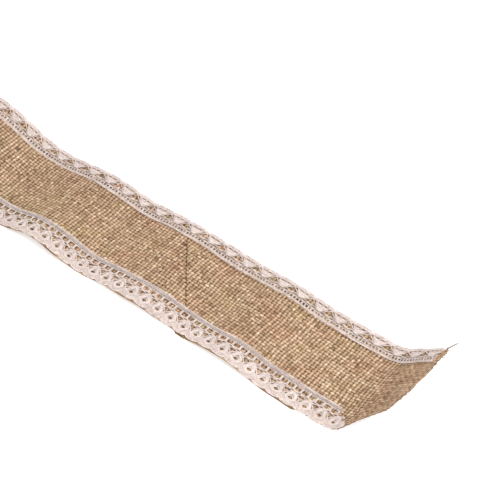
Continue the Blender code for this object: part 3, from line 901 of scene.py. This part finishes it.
def wide_motif(pitch):
    """One repeat: two squares, half a net, a rhombus with crossing cords, and a pointed medallion."""
    middle = pitch / 2
    cords = []
    for s in (pitch / 4, 3 * pitch / 4):
        for shift in (-0.52, 0.52):
            cords.append((bar((s + shift, 4.9), (s + 0.7 * shift, 7.4), (s + 1.6 * shift, 9.9), z=0.06),
                          False, 0.52, 0.30))
    for s in (0, middle):
        cords.append((bar((s - 2.9, 9.6), (s, 10.1), (s + 2.9, 9.6), z=0.02), False, 0.40, 0.25))
    for half_s, half_r, r in ((5.4, 6.2, 18.1), (4.5, 5.0, 18.1), (3.7, 3.8, 18.3), (2.9, 2.3, 18.7)):
        cords.append((loop(middle, r, half_s, half_r, 18, 1.4, z=0.10), True, 0.60, 0.31))
    for side in (-1, 1):
        cords.append((bar((side * middle, 10.9), (side * 3.2, 13.6), (0, 17.1), (-side * 2.9, 20.3),
                          (-side * 4.9, 22.4), z=0.30), False, 0.50, 0.32))
    for k, r in enumerate((18.2, 19.3, 20.4, 21.5, 22.5)):
        reach = 1.3 + 0.75 * k
        cords.append((bar((-reach, r + 0.5), (0, r - 0.1), (reach, r + 0.5), z=-0.02), False, 0.54, 0.27))
    return cords


lace_draw = np.random.default_rng(19)
wide_lace = lace_piece("wide_lace_cords", lace_draw, -1, WIDE_INNER, WIDE_LACE_CUT,
                       WIDE_LACE_REPEAT, wide_running, wide_motif)

# %% [markdown]
# The narrow trim is the same lace drawn out along its length as it was sewn, so its squares have become
# a ladder, its rhombs are longer, and each medallion has closed to two slits.

# %% The narrow lace's design
NARROW_LACE_REPEAT = 0.0207
NARROW_SCALLOPS = (0.58, 1.02, 1.3, 0.3)


def narrow_running(pitch):
    """The same running cords, closer together."""
    width = NARROW_LACE_WIDTH / MM
    cords = [(straight(0.60), 0.60, 0.34, pitch / 8), (straight(1.75), 0.50, 0.28, pitch / 8),
             (straight(5.45), 0.40, 0.27, pitch / 8),
             (zigzag(pitch / 6, 1.0, 2.3, 0.16), 0.34, 0.20, pitch / 12),
             (zigzag(pitch / 2, 7.2, 6.1, 0.10), 0.40, 0.26, pitch / 12),
             (zigzag(pitch / 2, 7.4, 8.5, 0.14), 0.44, 0.27, pitch / 12)]
    first, step, depth, less = NARROW_SCALLOPS
    for k in range(3):
        cords.append((scalloped(width - first - step * k, pitch, depth - less * k), 0.55,
                      0.32 - 0.03 * k, pitch / 16))
    return cords


def narrow_motif(pitch):
    """One repeat of the drawn-out lace: a ladder, a net, a wide rhombus and a medallion with two slits."""
    middle = pitch / 2
    cords = []
    for k in range(6):
        s = (k + 0.5) * pitch / 6
        cords.append((bar((s - 0.3, 2.1), (s + 0.3, 5.5), z=0.05), False, 0.50 + 0.35 * (k % 3 == 1), 0.30))
    for reach, r in ((1.8, 8.8), (3.3, 9.8), (4.8, 10.8), (5.8, 11.8), (6.6, 12.8)):
        cords.append((bar((middle - reach, r + 0.2), (middle, r - 0.1), (middle + reach, r + 0.2), z=0.05),
                      False, 0.56, 0.30))
    for side in (-1, 1):
        cords.append((loop(middle + side * 2.75, 14.6, 2.5, 1.25, 12, z=0.14), True, 0.42, 0.30))
        cords.append((bar((middle + side * 5.7, 13.7), (middle + side * 7.9, 15.6), z=0.04), False,
                      0.75, 0.28))
        cords.append((bar((side * middle, 7.8), (side * 4.9, 10.4), (0, 14.1), (-side * 3.8, 15.9),
                          z=0.22), False, 0.48, 0.30))
    for k, r in enumerate((14.9, 15.7, 16.4)):
        reach = 1.2 + 1.5 * k
        cords.append((bar((-reach, r + 0.4), (0, r), (reach, r + 0.4), z=-0.02), False, 0.50, 0.27))
    return cords


narrow_lace = lace_piece("narrow_lace_cords", lace_draw, 1, NARROW_INNER, NARROW_LACE_CUT,
                         NARROW_LACE_REPEAT, narrow_running, narrow_motif)

# %% [markdown]
# ## The stitching
# Each lace is held by two rows of lockstitch. Each stitch lies on the lace and dives into it at both
# ends, so a row is many short arcs, about 3 mm long with a small gap between them.

# %% Lockstitch rows
STITCH_INSET = 0.0020                  # from each edge of the lace to its row of stitches
STITCH_LENGTH = 0.0030
STITCH_SHOWS = (0.04, 0.92)            # where a stitch comes up, and how much of its length shows
STITCH_HALF_WIDTH = 0.00026
STITCH_FLATTENED = 0.8
STITCH_BASE = LACE_BASE + 0.00058
STITCH_RISE = 0.00042
STITCH_SLANT = 0.00006
STITCH_TONE, STITCH_TONE_VARIES = 0.6, 0.1
EDGE_ROW = HALF_WIDTH - STITCH_INSET


def stitch_row(name, draw, t, start):
    """A row of lockstitch along the runner."""
    threads = Threads(name, 5)
    f = np.linspace(0, 1, 6)
    for u in np.arange(start, PLAIN_END - STITCH_INSET - STITCH_LENGTH, STITCH_LENGTH):
        slant = draw.normal(0, STITCH_SLANT)
        path = np.stack([u + (STITCH_SHOWS[0] + STITCH_SHOWS[1] * f) * STITCH_LENGTH,
                         t + slant * (2 * f - 1),
                         STITCH_BASE + STITCH_RISE * (1 - (2 * f - 1)**4)], axis=-1)
        threads.add(path, STITCH_HALF_WIDTH, STITCH_HALF_WIDTH * STITCH_FLATTENED,
                    STITCH_TONE + STITCH_TONE_VARIES * draw.standard_normal())
    return threads.piece(spun_thread)


thread_draw = np.random.default_rng(31)
stitch_rows = {}
for lace_name, inner, side, cut in (("wide_lace", WIDE_INNER, -1, WIDE_LACE_CUT),
                                    ("narrow_lace", NARROW_INNER, 1, NARROW_LACE_CUT)):
    stitch_rows[f"{lace_name}_heading_stitches"] = stitch_row(
        f"{lace_name}_heading_lockstitch", thread_draw, inner + side * STITCH_INSET,
        cut[0] + STITCH_INSET)
    stitch_rows[f"{lace_name}_edge_stitches"] = stitch_row(
        f"{lace_name}_edge_lockstitch", thread_draw, side * EDGE_ROW, cut[1] + 3 * STITCH_INSET)

# %% [markdown]
# ## The bias seam
# The two lengths of burlap are sewn together with their allowances turned under, which the weave above
# already does. Only a row of short dark stitches shows between the two folds, 5 mm apart.

# %% Seam stitches
SEAM_STITCH_PITCH = 0.0050
SEAM_STITCH_LENGTH = 0.0012
SEAM_STITCH_HALF = (0.00070, 0.00035)  # half width and half height
SEAM_STITCH_ABOVE = 0.0003             # its middle above the cloth
SEAM_STITCH_DIVE = 0.0009              # how far its ends dive
SEAM_STITCH_LEAN = 0.0001
THREAD_TONE, THREAD_TONE_VARIES = 0.5, 0.1

seam_threads = Threads("bias_seam_lockstitch", 6)
f = np.linspace(-0.5, 0.5, 6)
reach = SEAM_STITCH_LENGTH * SEAM_SHARE
for t in np.arange(WIDE_INNER + STITCH_INSET, NARROW_INNER - STITCH_INSET, SEAM_STITCH_PITCH * SEAM_SHARE):
    lean = thread_draw.normal(0, SEAM_STITCH_LEAN)
    height = BURLAP_THICKNESS + SEAM_STITCH_ABOVE - SEAM_STITCH_DIVE * (2 * f)**4
    seam_threads.add(np.stack([seam_u(t + reach * f) + lean, t + reach * f, height], axis=-1),
                     *SEAM_STITCH_HALF, THREAD_TONE + THREAD_TONE_VARIES * thread_draw.standard_normal())
seam_stitches = seam_threads.piece(brown_thread)

# %% [markdown]
# ## Loose ends
# The narrow lace's outer cord ends in a twisted tail, and a jute yarn has worked out of the raw cut. Both
# are short, so each is a few strands wound round one line. Fine hairs stand out of the raw cut.

# %% The cord's tail
TAIL_LENGTH = 0.0120
TAIL_DIAMETER = 0.0016
TAIL_STRANDS = (0.00045, 2, 2.5, 0.00068)      # radius they are wound on, how many, turns, half width
TAIL_OUT, TAIL_UP = 0.0035, 0.0030             # how far its tip points out and up
TAIL_ABOVE = 0.0004                            # its line above the base of the lace
TAPERED_BY = 0.40


def wound(threads, line, strands, draw):
    """Strands wound round a line, which close up towards its end."""
    radius, count, turns, half_width = strands
    f = np.linspace(0, 1, len(line))
    taper = 1 - TAPERED_BY * f
    for k in range(count):
        angle = 2 * math.pi * (turns * f + k / count)
        path = line + np.stack([np.zeros(len(line)), radius * taper * np.cos(angle),
                                radius * taper * np.sin(angle)], axis=-1)
        threads.add(path, half_width * taper, half_width * taper,
                    THREAD_TONE + THREAD_TONE_VARIES * draw.standard_normal())


f = np.linspace(0, 1, 33)[:, None]
tail_start = NARROW_LACE_CUT[1] - 2 * GAP
tail_line = np.concatenate([tail_start - TAIL_LENGTH * f, LACE_EDGE - TAIL_DIAMETER + TAIL_OUT * f,
                            LACE_BASE + TAIL_ABOVE + TAIL_UP * f], axis=1)
tail_threads = Threads("narrow_lace_twisted_tail")
wound(tail_threads, tail_line, TAIL_STRANDS, thread_draw)
cord_tail = tail_threads.piece(greyed_cord)

# %% The loose yarn
LOOSE_YARN_LENGTH = 0.004
LOOSE_YARN_STRANDS = (0.00026, 3, 1.5, 0.00030)
LOOSE_YARN_ASIDE, LOOSE_YARN_DROOP = 0.0010, 0.0005
LOOSE_YARN_PLACE = 0.35                        # under the narrow lace, as a share of its width

yarn_t = NARROW_INNER + LOOSE_YARN_PLACE * NARROW_LACE_WIDTH
f = np.linspace(0, 1, 19)[:, None]
yarn_line = np.concatenate([float(cut_u(yarn_t)) - 2 * GAP - LOOSE_YARN_LENGTH * f,
                            yarn_t + LOOSE_YARN_ASIDE * f, CLOTH_MIDDLE - LOOSE_YARN_DROOP * f**2], axis=1)
yarn_threads = Threads("loose_burlap_yarn_strands")
wound(yarn_threads, yarn_line, LOOSE_YARN_STRANDS, thread_draw)
loose_yarn = yarn_threads.piece(jute_loose)

# %% The hairs
HAIR_COUNT = 150
HAIR_HALF = 0.00009                            # thicker than a real fibre, which would vanish
HAIR_REACH = (0.0012, 0.0040)
HAIR_LEAN, HAIR_LIFT, HAIR_BEND = (0, 0.5), (0.1, 0.35), (0, 0.3)      # middle and variation
HAIR_TONE = 0.8
HAIR_TAPER = 0.7
HAIR_ROOT = 0.0008                             # inside the raw cut
HAIR_INSIDE = 0.001                            # from the long edges

hair_threads = Threads("burlap_stray_hairs", 3)
hair_draw = np.random.default_rng(43)
f = np.linspace(0, 1, 5)[:, None]
hair_half = HAIR_HALF * (1 - HAIR_TAPER * f[:, 0])
for _ in range(HAIR_COUNT):
    t = hair_draw.uniform(-HALF_WIDTH + HAIR_INSIDE, HALF_WIDTH - HAIR_INSIDE)
    reach = hair_draw.uniform(*HAIR_REACH)
    lean, lift = hair_draw.normal(*HAIR_LEAN), hair_draw.normal(*HAIR_LIFT)
    bend = hair_draw.normal(*HAIR_BEND)
    root = np.array([float(cut_u(t)) + HAIR_ROOT, t, CLOTH_MIDDLE])
    line = root + np.concatenate([-reach * f, reach * (lean * f + bend * f**2), reach * lift * f], axis=1)
    hair_threads.add(line, hair_half, hair_half, HAIR_TONE)
stray_hairs = hair_threads.piece(jute_burlap)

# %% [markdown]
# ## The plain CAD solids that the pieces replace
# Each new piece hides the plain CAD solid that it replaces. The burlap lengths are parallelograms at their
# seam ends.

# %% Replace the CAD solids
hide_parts("burlap_short_length")
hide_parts("burlap_long_length")
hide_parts("wide_lace_trim")
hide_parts("narrow_lace_trim")
for node, row in stitch_rows.items():
    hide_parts(node)
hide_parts("bias_seam_stitches")
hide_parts("narrow_lace_cord_tail")
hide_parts("loose_burlap_yarn")
print("every plain solid is replaced, with", len(stitch_rows), "of them rows of stitches")

# %% [markdown]
# ## Floor, light and camera
# The runner lies on a plain white table in a bright white room. Two kinds of light were possible: one
# strong lamp would cast a hard shadow, so most of the light comes from the room and from the lit table,
# and one large soft lamp at the side of the curled end brings out the weave.

# %% The floor
FLOOR_SIZE = 12
FLOOR_BELOW = 0.0002           # so that the lowest yarns don't touch it
FLOOR_GLOW = 0.50

bpy.ops.object.select_all(action="DESELECT")
bpy.ops.mesh.primitive_plane_add(size=FLOOR_SIZE, location=(0, 0, -FLOOR_BELOW))
floor = bpy.context.object
floor.name = "white_table"
# White lacquer, matt and lit from below like a light table: it shows no gloss and hardly a shadow.
white = bpy.data.materials.new("white_matt_table")
white.use_nodes = True
for socket, value in (("Base Color", linear("#f7f7f7")), ("Roughness", 0.9), ("Specular IOR Level", 0.0),
                      ("Emission Color", linear("#ffffff")), ("Emission Strength", FLOOR_GLOW)):
    white.node_tree.nodes["Principled BSDF"].inputs[socket].default_value = value
floor.data.materials.append(white)
print("floor:", FLOOR_SIZE, "metres square")

# %% Light
ROOM_STRENGTH = 0.80
LAMP_PLACE = (1.3, -0.2, 1.9)
LAMP_SIZE = 0.8
LAMP_WATTS = 42.0

world = bpy.data.worlds.new("soft_white_room")
world.use_nodes = True
world.node_tree.nodes["Background"].inputs["Color"].default_value = (1, 1, 1, 1)
world.node_tree.nodes["Background"].inputs["Strength"].default_value = ROOM_STRENGTH
bpy.context.scene.world = world

lamp = bpy.data.lights.new("side_softbox", "AREA")
lamp.shape = "SQUARE"
lamp.size = LAMP_SIZE
lamp.energy = LAMP_WATTS
softbox = bpy.data.objects.new("side_softbox", lamp)
softbox.location = LAMP_PLACE
softbox.rotation_mode = "QUATERNION"
softbox.rotation_quaternion = (-softbox.location).to_track_quat("-Z", "Y")
softbox.visible_camera = False
bpy.context.scene.collection.objects.link(softbox)
print("lamp:", LAMP_WATTS, "watts from", LAMP_PLACE)

# %% Camera
CAMERA_AZIMUTH, CAMERA_ELEVATION, CAMERA_DISTANCE = 37.84, 46.76, 1.412
CAMERA_LENS, CAMERA_SENSOR = 112.3, 36.0
AIM_BACK, AIM_ASIDE = 0.1614, 0.064            # from where the curl starts to where the camera looks

curl_start = lie([(CURL_LENGTH, 0, 0)])[0]
aim = Vector((curl_start[0] - AIM_BACK, to_frame[1] + AIM_ASIDE, 0.0))
azimuth, elevation = math.radians(CAMERA_AZIMUTH), math.radians(CAMERA_ELEVATION)
back = Vector((math.sin(azimuth) * math.cos(elevation), -math.cos(azimuth) * math.cos(elevation),
               math.sin(elevation)))
camera = bpy.data.objects.new("camera", bpy.data.cameras.new("camera"))
camera.data.lens = CAMERA_LENS
camera.data.sensor_width = CAMERA_SENSOR
camera.location = aim + back * CAMERA_DISTANCE
camera.rotation_mode = "QUATERNION"
camera.rotation_quaternion = (-back).to_track_quat("-Z", "Y")
bpy.context.scene.collection.objects.link(camera)
bpy.context.scene.camera = camera
bpy.context.scene.view_settings.view_transform = "Standard"
print("camera at", [round(value, 3) for value in camera.location])

# %% Finish
print("the scene is built")
